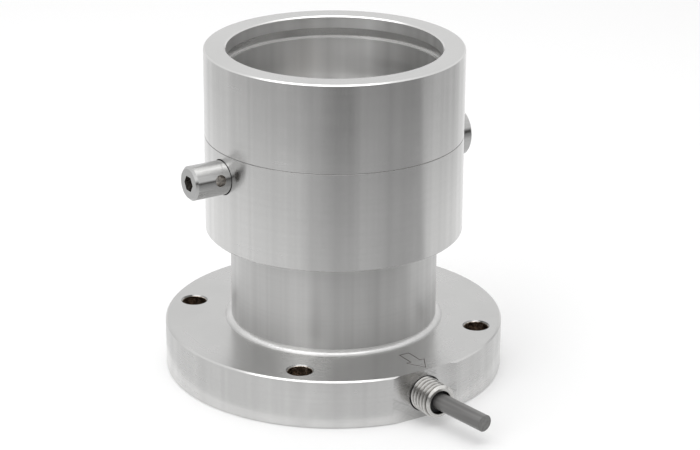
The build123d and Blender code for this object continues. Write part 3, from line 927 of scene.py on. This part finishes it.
class LOADCELL_OT_arrow(bpy.types.Operator):
    """Etched outline of the plain arrow that shows the measured direction"""
    bl_idname = "loadcell.arrow"
    bl_label = "Arrow"

    def execute(self, context):
        centre = 1.0
        tip, barb, tail = -57.1, -50.9, -44.0
        half_shaft, half_head = 1.9, 3.6
        relief = 0.12
        outline = [
            (centre, tip),
            (centre + half_head, barb),
            (centre + half_shaft, barb),
            (centre + half_shaft, tail),
            (centre - half_shaft, tail),
            (centre - half_shaft, barb),
            (centre - half_head, barb),
        ]
        data = bpy.data.curves.new("force_arrow", "CURVE")
        data.dimensions = "3D"
        line = data.splines.new("POLY")
        line.points.add(len(outline) - 1)
        for point, (x, y) in zip(line.points, outline):
            point.co = (x * MM, y * MM, 0, 1)
        line.use_cyclic_u = True
        data.bevel_depth = looks().arrow_line / 2
        data.bevel_resolution = 3
        piece = bpy.data.objects.new("force_arrow", data)
        context.collection.objects.link(piece)
        fresh(piece)
        bpy.ops.object.convert(target="MESH")
        piece = name_piece("force_arrow")
        settle(piece, location=(0, 0, FLANGE_TOP), scale=(1, 1, relief))
        smooth(piece, 60)
        mark = soft_plastic("etched_mark", (0.05, 0.04, 0.035, 1), 0.6, 0.2 * MM, 0.004 * MM)
        dress(piece, mark, "turned_steel")
        return {"FINISHED"}


class LOADCELL_OT_finishes(bpy.types.Operator):
    """Finish of every solid that stays as it is"""
    bl_idname = "loadcell.finishes"
    bl_label = "Finishes"

    def execute(self, context):
        steel = looks().steel
        finishes = {
            "base_flange": flange_steel("flange_turned", shade(steel, 0.95)),
            "neck_tube": turned_steel("neck_turned", shade(steel, 0.88), roughness=0.40),
            "pin_sleeve": housing_steel("sleeve_turned", steel),
            "bearing_ring": housing_steel("ring_turned", shade(steel, 1.01)),
            "bottom_cover": turned_steel("cover_turned", shade(steel, 0.88)),
            "clevis_pin": cross_pin_steel("pin_ground", looks().pin_steel),
            "sensing_beam": cast_metal("beam_milled", shade(steel, 0.79), 0.32),
            "beam_screws": cast_metal("beam_screw_steel", (0.35, 0.35, 0.36, 1), 0.35),
            "board_screws": cast_metal("board_screw_steel", (0.45, 0.45, 0.46, 1), 0.3),
            "cover_screws": cast_metal("cover_screw_steel", (0.45, 0.45, 0.46, 1), 0.3),
            "board_standoffs": cast_metal("standoff_steel", (0.50, 0.50, 0.50, 1), 0.3),
            "strain_gauges": foil_grid("gauge_foil_grid"),
            "gauge_coating": soft_plastic("coating_compound", (0.70, 0.68, 0.60, 1), 0.45),
            "gauge_leads": soft_plastic("lead_enamel", (0.45, 0.05, 0.03, 1), 0.35),
            "terminal_board": soft_plastic("board_lacquer", (0.02, 0.14, 0.05, 1), 0.3, 0.5 * MM),
            "trim_resistors": soft_plastic("resistor_moulding", (0.03, 0.03, 0.035, 1), 0.4),
            "cable_cores": soft_plastic("core_insulation", (0.05, 0.16, 0.06, 1), 0.4),
            "cable_ferrule": cast_metal("ferrule_copper", (0.72, 0.40, 0.25, 1), 0.3),
            "cable_seal": soft_plastic("seal_rubber", (0.012, 0.012, 0.013, 1), 0.6),
            "nipple_seal": soft_plastic("root_seal_rubber", (0.015, 0.015, 0.016, 1), 0.5),
            "cover_seal": soft_plastic("cover_seal_rubber", (0.015, 0.015, 0.016, 1), 0.55),
        }
        for side in ("left", "right"):
            finishes[f"pin_bush_{side}"] = turned_steel(
                f"bush_{side}_bronze", looks().bronze, PIN_CENTRE, "X",
                roughness=0.35, anisotropy=0.3, groove=0.3 * MM, streak=0.0)
            finishes[f"pin_spacer_{side}"] = turned_steel(
                f"spacer_{side}_steel", shade(steel, 0.79), PIN_CENTRE, "X",
                roughness=0.3, anisotropy=0.5)
        bare = set(NODES) - set(finishes) - REPLACED
        if bare:
            raise RuntimeError(f"nodes without a finish: {sorted(bare)}")
        for node, material in finishes.items():
            for slot in NODES[node].material_slots:
                slot.material = material
        return {"FINISHED"}


class LOADCELL_PT_panel(bpy.types.Panel):
    """Load cell settings and steps"""
    bl_idname = "LOADCELL_PT_panel"
    bl_label = "Load cell"
    bl_space_type = "VIEW_3D"
    bl_region_type = "UI"
    bl_category = "Load cell"

    def draw(self, context):
        for name in LoadCellLooks.__annotations__:
            self.layout.prop(context.scene.load_cell_looks, name)
        for step in STEPS:
            self.layout.operator(step.bl_idname)


STEPS = (
    LOADCELL_OT_stage,
    LOADCELL_OT_cable,
    LOADCELL_OT_weld,
    LOADCELL_OT_nipple,
    LOADCELL_OT_arrow,
    LOADCELL_OT_finishes,
)
CLASSES = (LoadCellLooks, *STEPS, LOADCELL_PT_panel)


def register():
    for item in CLASSES:
        bpy.utils.register_class(item)
    bpy.types.Scene.load_cell_looks = PointerProperty(type=LoadCellLooks)


def unregister():
    del bpy.types.Scene.load_cell_looks
    for item in reversed(CLASSES):
        bpy.utils.unregister_class(item)


def main():
    register()
    for step in STEPS:
        group, action = step.bl_idname.split(".")
        getattr(getattr(bpy.ops, group), action)()


if __name__ == "__main__":
    main()
